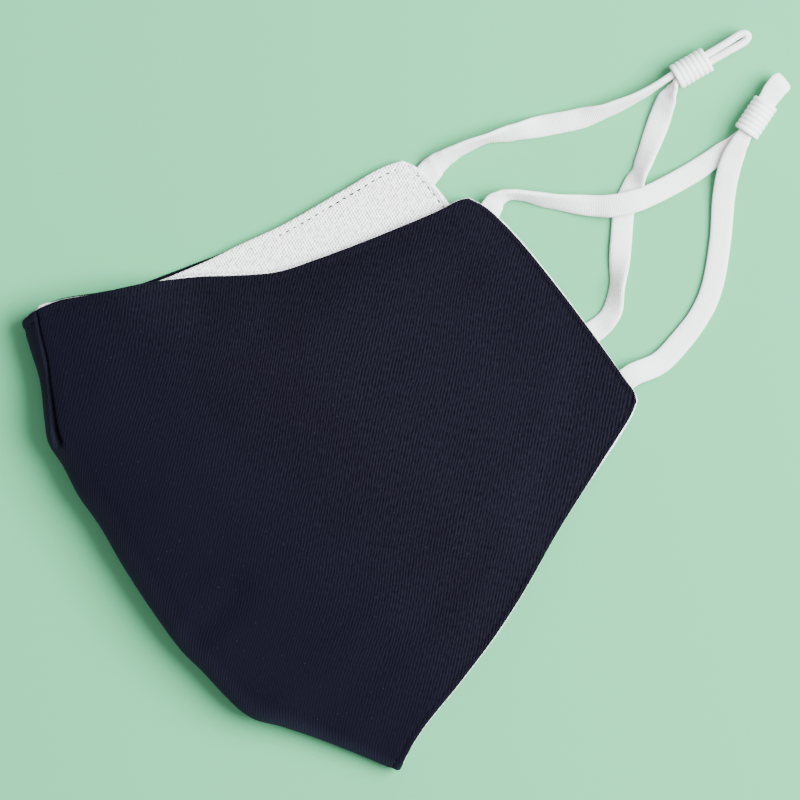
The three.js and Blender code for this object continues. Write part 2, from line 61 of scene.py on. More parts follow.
# Ear loops. Each is one length of soft white elastic, knitted flat about 5 mm wide, with both ends sewn
# into the ear edge. It wanders over the table, turning on its edge here and there, and is doubled
# through its sleeve. The rows are x, y and z of its middle, its width, and its lean from lying flat.
LOOP_ROUTES = {
    "ear_loop_upper": [
        (58.6, 17.3, 3.12, 5.30, 0), (60.1, 17.8, 3.05, 4.80, 12), (62.1, 17.85, 2.75, 4.00, 42),
        (64.2, 16.9, 2.49, 4.20, 64), (66.2, 15.0, 2.25, 4.30, 64), (70.0, 10.3, 1.86, 4.68, 50), (76.9, 3.0, 1.99, 4.94, 16),
        (80.2, 0.2, 2.97, 5.20, 4), (84.2, -2.0, 3.25, 5.20, 0), (88.4, -3.5, 2.45, 4.94, 0),
        (99.0, -5.7, 0.75, 4.94, 0), (106.5, -6.4, 1.15, 4.42, 0), (110.8, -6.7, 1.85, 3.64, 0),
        (114.0, -6.6, 2.30, 3.40, 0), (118.0, -5.5, 2.30, 3.40, 0), (122.0, -4.3, 2.30, 3.40, 0),
        (125.0, -3.4, 2.30, 4.95, 0), (127.0, -3.05, 2.30, 5.10, 0), (127.85, -3.05, 2.75, 4.85, 0),
        (128.15, -3.05, 3.20, 4.35, 0), (127.85, -3.05, 3.65, 4.85, 0), (127.0, -3.05, 4.10, 5.15, 0),
        (125.0, -3.4, 4.10, 4.95, 0), (122.0, -4.3, 4.10, 4.40, 0), (118.0, -5.5, 4.10, 3.60, 0),
        (114.0, -6.6, 4.10, 3.40, 0), (111.4, -7.5, 3.85, 4.16, 0), (108.6, -8.8, 3.15, 4.94, 0),
        (105.4, -10.8, 2.55, 5.20, 0), (101.0, -14.5, 1.25, 5.20, 0), (93.8, -21.8, 0.75, 4.94, 0),
        (85.2, -28.9, 0.75, 4.94, 0), (79.3, -31.7, 0.75, 4.94, 0), (72.5, -33.3, 0.75, 5.20, 0),
        (65.5, -34.0, 1.35, 5.20, 0), (59.2, -32.2, 3.05, 5.20, 0), (57.7, -32.1, 3.05, 5.20, 0),
    ],
    "ear_loop_lower": [
        (52.4, 32.6, 1.15, 5.70, 0), (54.0, 32.9, 1.20, 5.60, 0), (56.0, 33.1, 1.45, 5.20, 24),
        (58.8, 32.8, 1.85, 5.00, 46), (61.9, 32.2, 2.21, 4.94, 60), (67.9, 30.3, 2.36, 4.94, 72), (73.7, 27.4, 1.83, 4.94, 45),
        (80.1, 24.1, 0.82, 4.94, 8), (86.6, 20.5, 1.04, 4.94, 18), (93.7, 17.4, 1.96, 4.68, 55),
        (101.7, 15.2, 2.47, 4.16, 70), (106.6, 14.5, 2.91, 3.64, 82), (110.0, 14.1, 3.20, 3.40, 90),
        (114.2, 13.4, 3.20, 3.40, 90), (118.3, 12.7, 3.20, 3.40, 90), (123.3, 11.9, 3.20, 4.30, 90),
        (127.7, 11.2, 3.20, 4.30, 90), (128.4, 10.6, 3.20, 4.30, 90), (128.5, 10.1, 3.20, 4.30, 90),
        (128.3, 9.7, 3.20, 4.30, 90), (127.4, 9.4, 3.20, 4.30, 90), (123.0, 10.1, 3.20, 4.30, 90),
        (118.0, 11.0, 3.20, 3.40, 90), (113.9, 11.7, 3.20, 3.40, 90), (109.7, 12.4, 3.20, 3.40, 90),
        (107.6, 11.7, 3.00, 4.20, 58), (104.9, 10.5, 2.30, 4.90, 28), (100.4, 7.9, 1.05, 5.10, 8),
        (92.8, 3.6, 1.54, 4.94, 35), (89.9, 2.0, 1.90, 4.94, 48), (86.6, 0.5, 0.94, 4.94, 14),
        (82.4, -1.7, 0.75, 4.94, 0), (76.5, -7.4, 0.75, 4.94, 0), (69.3, -14.6, 1.95, 4.94, 50),
        (64.0, -18.5, 1.25, 4.94, 25), (57.5, -18.8, 0.75, 5.20, 0), (53.0, -16.9, 0.75, 5.20, 0),
        (51.3, -12.5, 1.15, 5.20, 0), (49.9, -12.2, 1.15, 5.20, 0),
    ],
}
ELASTIC_THICKNESS = 1.5
SEWN_THICKNESS = 0.8  # where the ends are caught in the hem
CURL = 0.6  # it curls where it stands on its edge, so it looks thicker there
SEWN_IN = 1.8  # how far the ends run into the hem
ELASTIC_SIDES = 20
ELASTIC_STEP = 0.45
WALE_PITCH = 0.52  # rows of knit loops along the elastic
COURSE_PITCH = 0.40
ELASTIC_WHITE = "#F1F1F2"
ELASTIC_SHADE = "#DEDFE3"


def linear(colour):
    """An sRGB hex colour as linear red, green, blue and alpha."""
    parts = [int(colour[i:i + 2], 16) / 255 for i in (1, 3, 5)]
    return [c / 12.92 if c <= 0.04045 else ((c + 0.055) / 1.055) ** 2.4 for c in parts] + [1]


def add_node(tree, kind, settings=None, **inputs):
    """Adds a node. settings are its own properties; an input is a value or another node's output."""
    node = tree.nodes.new(kind)
    for name, value in (settings or {}).items():
        setattr(node, name, value)
    for name, value in inputs.items():
        socket = node.inputs[int(name[1:])] if name[1:].isdigit() else node.inputs[name.replace("_", " ")]
        if isinstance(value, bpy.types.NodeSocket):
            tree.links.new(value, socket)
        else:
            socket.default_value = value
    return node


def new_material(name):
    """A material with an empty tree and its output node."""
    material = bpy.data.materials.new(name)
    material.use_nodes = True
    material.node_tree.nodes.clear()
    return material, material.node_tree, material.node_tree.nodes.new("ShaderNodeOutputMaterial")


def curve_through(points, parts):
    """A centripetal Catmull-Rom curve through rows of points, with that many parts in each span."""
    points = np.asarray(points, float)
    padded = np.vstack([2 * points[0] - points[1], points, 2 * points[-1] - points[-2]])
    out = []
    for p0, p1, p2, p3, count in zip(padded, padded[1:], padded[2:], padded[3:], parts):
        d0, d1, d2 = (np.linalg.norm(b - a) ** 0.5 for a, b in ((p0, p1), (p1, p2), (p2, p3)))
        t1 = d1 * ((p1 - p0) / d0 - (p2 - p0) / (d0 + d1) + (p2 - p1) / d1)
        t2 = d1 * ((p2 - p1) / d1 - (p3 - p1) / (d1 + d2) + (p3 - p2) / d2)
        t = (np.arange(count) / count)[:, None]
        out.append(p1 + t1 * t + (3 * (p2 - p1) - 2 * t1 - t2) * t**2
                   + (2 * (p1 - p2) + t1 + t2) * t**3)
    return np.vstack([*out, points[-1:]])


def unit(vectors):
    return vectors / np.maximum(np.linalg.norm(vectors, axis=-1, keepdims=True), 1e-12)


def make_piece(name, vertices, faces, uvs, material):
    """A smooth mesh from vertices and uvs in millimetres. uvs has a row for each face's corner."""
    mesh = bpy.data.meshes.new(name)
    mesh.from_pydata((np.asarray(vertices) * MM).tolist(), [], np.asarray(faces).tolist())
    layer = mesh.uv_layers.new(name="cloth_mm")
    layer.data.foreach_set("uv", np.asarray(uvs, np.float32).ravel())
    mesh.materials.append(material)
    mesh.shade_smooth()
    piece = bpy.data.objects.new(name, mesh)
    bpy.context.scene.collection.objects.link(piece)
    return piece


def grid_faces(rows, columns, start=0, closed=False):
    """Quads of a grid of vertices, wrapped round its columns where it is closed."""
    r, c = np.meshgrid(np.arange(rows - 1), np.arange(columns if closed else columns - 1),
                       indexing="ij")
    n = (c + 1) % columns
    quads = np.stack([r * columns + c, r * columns + n, (r + 1) * columns + n, (r + 1) * columns + c], -1)
    return quads.reshape(-1, 4) + start


def elastic_band(route):
    """The band's vertices, faces, uvs and centreline, all in millimetres."""
    rows = np.array(route, float)
    for end, next_to in ((0, 1), (-1, -2)):
        rows[end, :2] += unit(rows[end, :2] - rows[next_to, :2]) * SEWN_IN
    spans = np.linalg.norm(np.diff(rows[:, :3], axis=0), axis=1)
    parts = np.maximum(3, np.round(spans / ELASTIC_STEP)).astype(int)
    line = curve_through(rows[:, :3], parts)
    share = np.concatenate([np.arange(n) / n for n in parts] + [[1.0]])
    span = np.concatenate([np.full(n, i) for i, n in enumerate(parts)] + [[len(parts) - 1]])
    ease = share * share * (3 - 2 * share)
    width = rows[span, 3] + (rows[span + 1, 3] - rows[span, 3]) * ease
    lean = np.radians(rows[span, 4] + (rows[span + 1, 4] - rows[span, 4]) * ease)
    along = np.concatenate([[0], np.cumsum(np.linalg.norm(np.diff(line, axis=0), axis=1))])
    tangent = unit(np.gradient(line, axis=0))
    side = np.zeros_like(tangent)
    last = None
    for i, way in enumerate(tangent):
        level = np.cross(way, (0, 0, 1))
        if np.linalg.norm(level) > 0.25:
            level = unit(level)
            last = -level if last is not None and level @ last < 0 else level
        side[i] = last
    side = unit(side - tangent * np.sum(side * tangent, axis=1, keepdims=True))
    thick = np.cross(tangent, side)
    wide = side * np.cos(lean)[:, None] + thick * np.sin(lean)[:, None]
    thick = np.cross(tangent, wide)
    end = np.minimum(along, along[-1] - along)
    depth = SEWN_THICKNESS + (ELASTIC_THICKNESS - SEWN_THICKNESS) * np.clip((end - 1.5) / 3.5, 0, 1)
    depth = depth + CURL * np.clip((np.degrees(lean) - 74) / 16, 0, 1)
    angle = (np.arange(ELASTIC_SIDES) + 0.5) / ELASTIC_SIDES * 2 * math.pi
    across = np.sign(np.cos(angle)) * np.abs(np.cos(angle)) ** 0.75
    over = np.sign(np.sin(angle)) * np.abs(np.sin(angle)) ** 0.8
    over = over * (0.82 + 0.18 * np.abs(across) ** 2)  # the knit is a little thicker at its two edges
    rings = (line[:, None] + wide[:, None] * (across * 0.5)[None, :, None] * width[:, None, None]
             + thick[:, None] * (over * 0.5)[None, :, None] * depth[:, None, None])
    sunk = np.minimum(rings[..., 2].min(axis=1), 0.02) - 0.02
    rings[..., 2] -= sunk[:, None]
    steps, sides = rings.shape[:2]
    faces = grid_faces(steps, sides, closed=True)
    place = np.cumsum(np.r_[0, np.linalg.norm(np.diff(rings[steps // 2], axis=0), axis=1)])
    girth = place[-1] + np.linalg.norm(rings[steps // 2, 0] - rings[steps // 2, -1])
    r, c = np.meshgrid(np.arange(steps - 1), np.arange(sides), indexing="ij")
    reach = np.r_[place, girth]
    uvs = np.stack([np.stack([along[r], reach[c]], -1), np.stack([along[r], reach[c + 1]], -1),
                    np.stack([along[r + 1], reach[c + 1]], -1), np.stack([along[r + 1], reach[c]], -1)], 2)
    return rings.reshape(-1, 3), faces, uvs.reshape(-1, 2), line


# Knitted polyester elastic, brushed soft. Fine wales run along it and courses across it, and its nap
# scatters the light, so it looks chalky with a pale edge.
elastic_knit, tree, output = new_material("elastic_knit")
cloth_uv = add_node(tree, "ShaderNodeUVMap", {"uv_map": "cloth_mm"}).outputs[0]
split = add_node(tree, "ShaderNodeSeparateXYZ", Vector=cloth_uv)
wales = add_node(tree, "ShaderNodeMath", {"operation": "SINE"}, _0=add_node(
    tree, "ShaderNodeMath", {"operation": "MULTIPLY"}, _0=split.outputs[1],
    _1=2 * math.pi / WALE_PITCH).outputs[0])
courses = add_node(tree, "ShaderNodeMath", {"operation": "SINE"}, _0=add_node(
    tree, "ShaderNodeMath", {"operation": "MULTIPLY"}, _0=split.outputs[0],
    _1=2 * math.pi / COURSE_PITCH).outputs[0])
fuzz = add_node(tree, "ShaderNodeTexNoise", {"noise_dimensions": "2D"}, Vector=cloth_uv, Scale=2.2,
                Detail=4.0, Roughness=0.65)
knit = add_node(tree, "ShaderNodeMath", {"operation": "MULTIPLY_ADD"}, _0=wales.outputs[0], _1=0.5,
                _2=courses.outputs[0])
knit = add_node(tree, "ShaderNodeMath", {"operation": "MULTIPLY_ADD"}, _0=fuzz.outputs[0], _1=3.0,
                _2=knit.outputs[0])
tint = add_node(tree, "ShaderNodeMapRange", Value=knit.outputs[0], From_Min=-0.5, From_Max=3.5)
colour = add_node(tree, "ShaderNodeMix", {"data_type": "RGBA"}, Factor=tint.outputs[0],
                  _6=linear(ELASTIC_SHADE), _7=linear(ELASTIC_WHITE))
bump = add_node(tree, "ShaderNodeBump", Strength=0.35, Distance=0.00012, Height=knit.outputs[0])
shader = add_node(tree, "ShaderNodeBsdfPrincipled", Base_Color=colour.outputs[2], Roughness=0.88,
                  Normal=bump.outputs[0])
shader.inputs["Sheen Weight"].default_value = 0.25
shader.inputs["Sheen Roughness"].default_value = 0.5
shader.inputs["Specular IOR Level"].default_value = 0.25
tree.links.new(shader.outputs[0], output.inputs[0])

# Cord sleeves. Each is a short tube of moulded white silicone with seven rings round it, which grips
# the doubled elastic by friction and slides along it to set the loop's length.
SLEEVES = {  # where its near end is, and its heading in degrees
    "cord_sleeve_upper": {"start": (113.976, -6.643, 3.2), "heading": 16.4, "loop": "ear_loop_upper"},
    "cord_sleeve_lower": {"start": (109.876, 13.257, 3.2), "heading": -9.6, "loop": "ear_loop_lower"},
}
SLEEVE_LENGTH = 8.4
SLEEVE_RADIUS = 3.05
SLEEVE_GROOVE = 2.84
SLEEVE_BORE = 2.3
SLEEVE_RINGS = 7
SLEEVE_SIDES = 72
SILICONE_WHITE = "#F0EFF3"

silicone, tree, output = new_material("moulded_silicone")
cloudy = add_node(tree, "ShaderNodeTexNoise", Vector=add_node(
    tree, "ShaderNodeTexCoord").outputs["Object"], Scale=900.0, Detail=3.0)
tint = add_node(tree, "ShaderNodeMix", {"data_type": "RGBA"}, Factor=cloudy.outputs[0],
                _6=linear("#E6E5EB"), _7=linear(SILICONE_WHITE))
bump = add_node(tree, "ShaderNodeBump", Strength=0.2, Distance=0.00005, Height=cloudy.outputs[0])
shader = add_node(tree, "ShaderNodeBsdfPrincipled", Base_Color=tint.outputs[2], Roughness=0.5,
                  IOR=1.41, Normal=bump.outputs[0])
shader.inputs["Subsurface Weight"].default_value = 0.15
shader.inputs["Subsurface Radius"].default_value = (0.6 * MM, 0.6 * MM, 0.7 * MM)
shader.inputs["Subsurface Scale"].default_value = 1.0
tree.links.new(shader.outputs[0], output.inputs[0])


def sleeve_profile():
    """Reach along the sleeve and radius, out along the rings and back through the bore."""
    steps = np.linspace(0, SLEEVE_RINGS, SLEEVE_RINGS * 12 + 1)
    swell = np.abs(np.sin(steps * math.pi)) ** 0.7
    radius = SLEEVE_GROOVE + (SLEEVE_RADIUS - SLEEVE_GROOVE) * swell
    radius[0] = radius[-1] = SLEEVE_GROOVE - 0.12
    outside = np.stack([steps / SLEEVE_RINGS * SLEEVE_LENGTH, radius], 1)
    mouth = np.array([[SLEEVE_LENGTH + 0.02, 2.5], [SLEEVE_LENGTH - 0.12, 2.34]])
    bore = np.array([[SLEEVE_LENGTH * s, SLEEVE_BORE] for s in (0.9, 0.5, 0.1)])
    other = np.array([[0.12, 2.34], [-0.02, 2.5]])
    return np.vstack([outside, mouth, bore, other])


for name, sleeve in SLEEVES.items():
    profile = sleeve_profile()
    turn = math.radians(sleeve["heading"])
    along = np.array([math.cos(turn), math.sin(turn), 0])
    across = np.array([-math.sin(turn), math.cos(turn), 0])
    angle = np.arange(SLEEVE_SIDES) / SLEEVE_SIDES * 2 * math.pi
    spokes = across * np.cos(angle)[:, None] + np.array([0, 0, 1.0]) * np.sin(angle)[:, None]
    rings = (np.array(sleeve["start"]) + along * profile[:, :1, None]
             + spokes[None] * profile[:, 1:, None])
    rings = np.concatenate([rings, rings[:1]])
    rings = rings.reshape(-1, 3)
    count = len(profile)
    faces = grid_faces(count + 1, SLEEVE_SIDES, closed=True) % (count * SLEEVE_SIDES)
    faces = faces[:, ::-1]
    uvs = rings[faces.ravel()][:, :2]
    piece = make_piece(name + "_moulding", rings[:count * SLEEVE_SIDES], faces, uvs, silicone)
    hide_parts(name)
    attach(piece, "root")

for name, route in LOOP_ROUTES.items():
    vertices, faces, uvs, centreline = elastic_band(route)
    band = make_piece(name + "_elastic", vertices, faces, uvs, elastic_knit)
    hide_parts(name)
    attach(band, "root")

# Folded cloth. The shell is navy cotton twill and the lining is white cotton, cut alike, seamed along
# the chin, darted at the nose and sewn together round the hems, then turned and topstitched. The mask
# lies folded on its centre line, the upper half a little lower down the page than the half beneath.
HALF_WIDTH = 118.5
HALF_HEIGHT = 133
SHELL_THICKNESS = 1.0
LINING_THICKNESS = 1.0
LAYER_GAP = 0.3
HALF_STACK = SHELL_THICKNESS + LAYER_GAP + LINING_THICKNESS
RESTING_GAP = 0.4
HOLLOW_HEIGHT = 8
BEND_REACH = 7
EDGE_DROOP = 0.8
DROOP_RUN = 8
CHIN_TO_NOSE = [
    (0.172, 0.000), (0.163, 0.011), (0.135, 0.059), (0.098, 0.120), (0.053, 0.187), (0.024, 0.223),
    (0.014, 0.249), (0.009, 0.287), (0.006, 0.345), (0.001, 0.394), (0.008, 0.488), (0.021, 0.579),
    (0.033, 0.637), (0.037, 0.668), (0.040, 0.707), (0.054, 0.763), (0.062, 0.812), (0.084, 0.845),
    (0.126, 0.903), (0.149, 0.952), (0.171, 0.999),
]
EDGES = {
    ("upper", "ear"): [
        (0.972, 0.225), (0.981, 0.240), (0.984, 0.265), (0.992, 0.355), (0.998, 0.460),
        (1.000, 0.548), (0.997, 0.603), (0.991, 0.639), (0.977, 0.670)],
    ("upper", "top"): [
        (0.977, 0.670), (0.960, 0.678), (0.918, 0.687), (0.799, 0.720), (0.683, 0.756),
        (0.608, 0.783), (0.545, 0.822), (0.485, 0.864), (0.415, 0.905), (0.318, 0.953),
        (0.251, 0.988), (0.202, 1.000), (0.171, 0.999)],
    ("upper", "bottom"): [
        (0.972, 0.225), (0.925, 0.204), (0.830, 0.175), (0.700, 0.138), (0.576, 0.097),
        (0.478, 0.070), (0.373, 0.048), (0.264, 0.029), (0.200, 0.011), (0.172, 0.000)],
    ("lower", "ear"): [
        (0.907, 0.374), (0.913, 0.392), (0.919, 0.421), (0.927, 0.510), (0.935, 0.598),
        (0.940, 0.689), (0.942, 0.726), (0.939, 0.767), (0.925, 0.789)],
    ("lower", "top"): [
        (0.925, 0.789), (0.899, 0.800), (0.870, 0.808), (0.805, 0.819), (0.675, 0.840),
        (0.613, 0.855), (0.531, 0.876), (0.437, 0.904), (0.384, 0.922), (0.319, 0.954),
        (0.251, 0.989), (0.202, 1.000), (0.171, 0.999)],
    ("lower", "bottom"): [
        (0.907, 0.374), (0.860, 0.343), (0.729, 0.270), (0.548, 0.174), (0.363, 0.083),
        (0.172, 0.000)],
}
# Along the fold from chin to nose: how far the linings part half-way across and at the fold, as
# shares of HOLLOW_HEIGHT, and the reach of the bend as a share of BEND_REACH.
SECTIONS = np.array([
    (0.00, 0.42, 0.08, 0.45), (0.12, 0.55, 0.30, 0.60), (0.24, 0.72, 0.62, 0.85),
    (0.40, 0.85, 0.90, 1.00), (0.60, 0.90, 1.00, 1.00), (0.79, 0.88, 0.95, 0.95),
    (0.92, 0.84, 0.78, 0.90), (1.00, 0.80, 0.60, 0.80)])
# Soft valleys of the upper half: from, to, depth and reach to each side.
CREASES = [
    ((0.56, 0.735), (0.86, 0.585), 0.7, 8), ((0.44, 0.80), (0.54, 0.69), 0.6, 7),
    ((-0.02, 0.385), (0.15, 0.415), 0.8, 6), ((0.20, 0.52), (0.62, 0.36), 0.5, 12),
]
# How far out each layer's edge lies from the outline, in millimetres at shares of that edge: the
# lining rolls a little past the shell nearly all the way round.
EDGE_SHIFTS = {
    "shell": {
        ("upper", "ear"): [(0, -0.1), (0.04, 0.08), (0.1, 0.1), (1, 0.1)],
        ("upper", "top"): [(0, 0.05), (0.75, 0), (0.87, -0.35), (0.95, -0.4), (1, 0)],
        ("upper", "bottom"): [(0, 0.7), (0.02, 0.72), (0.04, 0.55), (0.08, 0.15), (0.14, 0), (0.93, 0), (1, 0.3)],
        ("lower", "ear"): [(0, 0.3), (0.8, 0.3), (0.93, -0.3), (1, -0.4)],
        ("lower", "top"): [(0, -0.4), (0.45, -0.3), (0.55, 0), (1, 0)],
        ("lower", "bottom"): [(0, 0), (1, 0)]},
    "lining": {
        ("upper", "ear"): [(0, 0.1), (0.05, 0.2), (0.25, 0.22), (0.6, 0.35), (0.9, 0.4), (1, 0.15)],
        ("upper", "top"): [(0, 0.15), (0.2, 0.25), (0.34, 0.35), (0.5, 0.6), (0.56, 0.75), (0.64, 0.5),
                           (0.7, -0.3), (0.8, -0.2), (0.92, -0.3), (0.937, 0.2), (0.95, 0.25),
                           (0.962, -0.5), (1, -0.5)],
        ("upper", "bottom"): [(0, 0.8), (0.03, 0.95), (0.07, 0.6), (0.13, 0.4), (0.22, 0.1), (0.4, 0.05), (0.6, 0.2),
                              (1, 0.1)],
        ("lower", "ear"): [(0, 0.4), (0.8, 0.35), (0.93, 0.1), (1, 0.15)],
        ("lower", "top"): [(0, 0.4), (0.06, 0.3), (0.14, 0), (0.45, -0.1), (0.52, -0.5), (0.64, -0.8),
                           (0.8, -0.5), (1, 0.1)],
        ("lower", "bottom"): [(0, 0.4), (1, 0.4)]},
}
STITCH_LINES = {"ear": 1.5, "top": 2.3, "bottom": 1.7}  # their distances from the edges
HEM_STEPS = [0, 0.04, 0.12, 0.25, 0.42, 0.65, 0.9, 1.2, 1.5, 1.7, 2.0, 2.3, 2.6, 3.0, 3.5, 4.2, 5.1, 6.2]
DART_POINT = 0.785
# The dart's way from its point to the hem: how far round the bend it lies, in degrees.
DART_PATH = [(0, 50), (0.05, 53.5), (0.15, 58), (0.3, 57.5), (0.45, 55.5), (0.65, 62), (0.8, 67), (1, 77)]
MOUTH_OPENS = 0.8
SETTLED_GAP = 0.5
FRAME_SHIFT = (-59.5245, -66.7260)  # from the pattern's corner to the middle of the laid-out mask


def edge_curve(shares):
    """Points along an edge at even distances, as a function of the share of its length."""
    corners = np.array(shares) * (HALF_WIDTH, HALF_HEIGHT)
    dense = curve_through(corners, [60] * (len(corners) - 1))
    reach = np.r_[0, np.cumsum(np.linalg.norm(np.diff(dense, axis=0), axis=1))]
    at = lambda share: np.stack([np.interp(share * reach[-1], reach, dense[:, k]) for k in (0, 1)], -1)
    at.length = reach[-1]
    return at


fold = edge_curve(CHIN_TO_NOSE)
edges = {key: edge_curve(shares) for key, shares in EDGES.items()}


def smooth(x):
    x = np.clip(x, 0, 1)
    return x * x * (3 - 2 * x)


def on_half(half, s, t):
    """Where a place of the half lies, seen from above. s runs from ear edge to fold, t chin to nose."""
    ear, top, bottom = (edges[half, side] for side in ("ear", "top", "bottom"))
    s1, t1 = s[..., None], t[..., None]
    one, none = np.ones_like(s), np.zeros_like(s)
    return (ear(t) * (1 - s1) + fold(t) * s1 + bottom(s) * (1 - t1) + top(s) * t1
            - bottom(none) * (1 - s1) * (1 - t1) - fold(none) * s1 * (1 - t1)
            - top(none) * (1 - s1) * t1 - fold(one) * s1 * t1)


def section_at(t):
    """How far the linings part in the middle and at the fold, and the bend's reach, in millimetres."""
    row = np.clip(np.searchsorted(SECTIONS[:, 0], t, side="left") - 1, 0, len(SECTIONS) - 2)
    low, high = SECTIONS[row], SECTIONS[row + 1]
    share = smooth((t - low[..., 0]) / (high[..., 0] - low[..., 0]))[..., None]
    mixed = low[..., 1:] + (high[..., 1:] - low[..., 1:]) * share
    return mixed[..., 0] * HOLLOW_HEIGHT, mixed[..., 1] * HOLLOW_HEIGHT, mixed[..., 2] * BEND_REACH


def hollow_at(s, middle, at_fold):
    near = RESTING_GAP + middle * smooth(s / 0.5)
    far = RESTING_GAP + middle + (at_fold - middle) * smooth(2 * s - 1)
    return np.where(s < 0.5, near, far)


def segment_distance(places, a, b):
    way = b - a
    share = np.clip(((places - a) @ way) / max(way @ way, 1e-9), 0, 1)
    return np.linalg.norm(places - a - share[..., None] * way, axis=-1)


even = np.linspace(0, 1, 61)
lower_outline = np.vstack([edges["lower", "ear"](even), edges["lower", "top"](even),
                           fold(even)[::-1], edges["lower", "bottom"](even)[::-1]])


def past_lower_half(places):
    """How far a place lies outside the lower half, seen from above; 0 inside it."""
    nearest = np.full(places.shape[:-1], 1e9)
    inside = np.zeros(places.shape[:-1], bool)
    x, y = places[..., 0], places[..., 1]
    for a, b in zip(lower_outline, np.roll(lower_outline, -1, axis=0)):
        if np.allclose(a, b):
            continue
        nearest = np.minimum(nearest, segment_distance(places, a, b))
        if a[1] != b[1]:
            crosses = ((a[1] > y) != (b[1] > y)) & (x < a[0] + (b[0] - a[0]) * (y - a[1]) / (b[1] - a[1]))
            inside ^= crosses
    return np.where(inside, 0, nearest)


def rumple(places, wavelength, waves, seed):
    """Gentle unevenness of hand-folded cloth: waves of about that length in all directions, 0 to 1."""
    random = np.random.RandomState(seed)
    total = 0
    for _ in range(waves):
        angle, phase, stretch = random.rand(3)
        way = np.array([math.cos(angle * 2 * math.pi), math.sin(angle * 2 * math.pi)])
        total = total + np.sin(places @ way * 2 * math.pi / (wavelength * (0.7 + 0.6 * stretch))
                               + phase * 2 * math.pi)
    return total / math.sqrt(waves / 2)


def crease_depth(places):
    total = 0
    for start, end, depth, reach in CREASES:
        a, b = (np.array(p) * (HALF_WIDTH, HALF_HEIGHT) for p in (start, end))
        total = total + depth * (1 - smooth(segment_distance(places, a, b) / reach))
    return total


# Columns of the cloth run from the upper ear edge, round the bend and back to the lower ear edge.
arm_shares = np.linspace(0, 1, 66)[1:]
bend_degrees = np.r_[np.arange(90, 38, -2.4), np.linspace(37, -90, 24)]
column_kinds = ([("upper", "hem", d) for d in HEM_STEPS] + [("upper", "arm", u) for u in arm_shares[:-1]]
                + [("upper" if a >= 0 else "lower", "bend", a) for a in bend_degrees]
                + [("lower", "arm", u) for u in arm_shares[-2::-1]]
                + [("lower", "hem", d) for d in HEM_STEPS[::-1]])
is_upper = np.array([k[0] == "upper" for k in column_kinds])
is_hem = np.array([k[1] == "hem" for k in column_kinds])
is_bend = np.array([k[1] == "bend" for k in column_kinds])
column_value = np.array([k[2] for k in column_kinds], float)
# Rows crowd at both hems and round the dart's point. Each is a share of what lies between the hems.
inner_rows = np.r_[np.linspace(0, 0.755, 72), np.linspace(0.762, 0.87, 34), np.linspace(0.88, 1, 14)][1:-1]
row_kinds = [("bottom", d) for d in HEM_STEPS] + [("inner", f) for f in inner_rows] + [
    ("top", d) for d in HEM_STEPS[::-1]]


row_value = np.array([k[1] for k in row_kinds], float)[:, None]
from_top = np.array([k[0] == "top" for k in row_kinds])[:, None]
between = np.array([k[0] == "inner" for k in row_kinds])[:, None]


def row_shares(s):
    """t of every grid point, so that hems keep their distance from the edges."""
    height = edges["upper", "ear"].length + (fold.length - edges["upper", "ear"].length) * s
    hem = HEM_STEPS[-1]
    t = np.where(between, (hem + row_value * (height - 2 * hem)) / height, row_value / height)
    return np.where(from_top, 1 - row_value / height, t), height


def column_places(inset):
    """s, t and plan of every grid point for a depth below the shell's outside, with what shapes them."""
    count = len(column_kinds)
    s = np.where(is_hem, 0.0, np.where(is_bend, 0.95, column_value))[None, :] * np.ones((len(row_kinds), 1))
    for _ in range(3):
        t, height = row_shares(s)
        tip = fold(t)
        start = np.where(is_upper[None, :, None], edges["upper", "ear"](t), edges["lower", "ear"](t))
        row_length = np.linalg.norm(tip - start, axis=-1)
        middle, at_fold, bend = section_at(t)
        hem_share = column_value[None, :] / row_length
        last_hem = HEM_STEPS[-1] / row_length
        arm = last_hem + column_value[None, :] * (1 - bend / row_length - last_hem)
        depth = inset + (bend - inset) * (1 - np.cos(np.radians(np.abs(column_value))))[None, :]
        s = np.where(is_hem, hem_share, np.where(is_bend, 1 - depth / row_length, arm))
    plan = np.where(is_upper[None, :, None], on_half("upper", s, t), on_half("lower", s, t))
    inward = (start - tip) / row_length[..., None]
    return dict(s=s, t=t, plan=plan, inward=inward, height=height, row_length=row_length,
                middle=middle, at_fold=at_fold, bend=bend, count=count)


def layer_grid(inset):
    """The points of one surface of the cloth, before its finer relief."""
    g = column_places(inset)
    hollow = hollow_at(g["s"], g["middle"], g["at_fold"])
    # The mouth is open at the nose, and from there to the ear its upper hem has settled on the lower.
    settled = smooth((MOUTH_OPENS - g["s"]) / 0.2) * np.exp(-((1 - g["t"]) * g["height"] / 9) ** 2)
    hollow = hollow + (SETTLED_GAP - hollow) * settled * (hollow > SETTLED_GAP)
    droop = EDGE_DROOP * smooth(past_lower_half(g["plan"]) / DROOP_RUN)
    skin = 2 * HALF_STACK + hollow - droop - crease_depth(g["plan"])
    flat = np.where(is_upper[None, :], skin - inset, inset)
    mid = (2 * HALF_STACK + RESTING_GAP + g["at_fold"]) / 2
    lift = np.where(is_bend[None, :], np.sin(np.radians(np.abs(column_value)))[None, :], 1.0)
    z = np.where(is_bend[None, :], mid + (flat - mid) * lift, flat)
    return np.concatenate([g["plan"], z[..., None]], -1), g


def grid_normals(points):
    """Unit normals that point out of the mask's outside."""
    return unit(np.cross(np.gradient(points, axis=0), np.gradient(points, axis=1)))


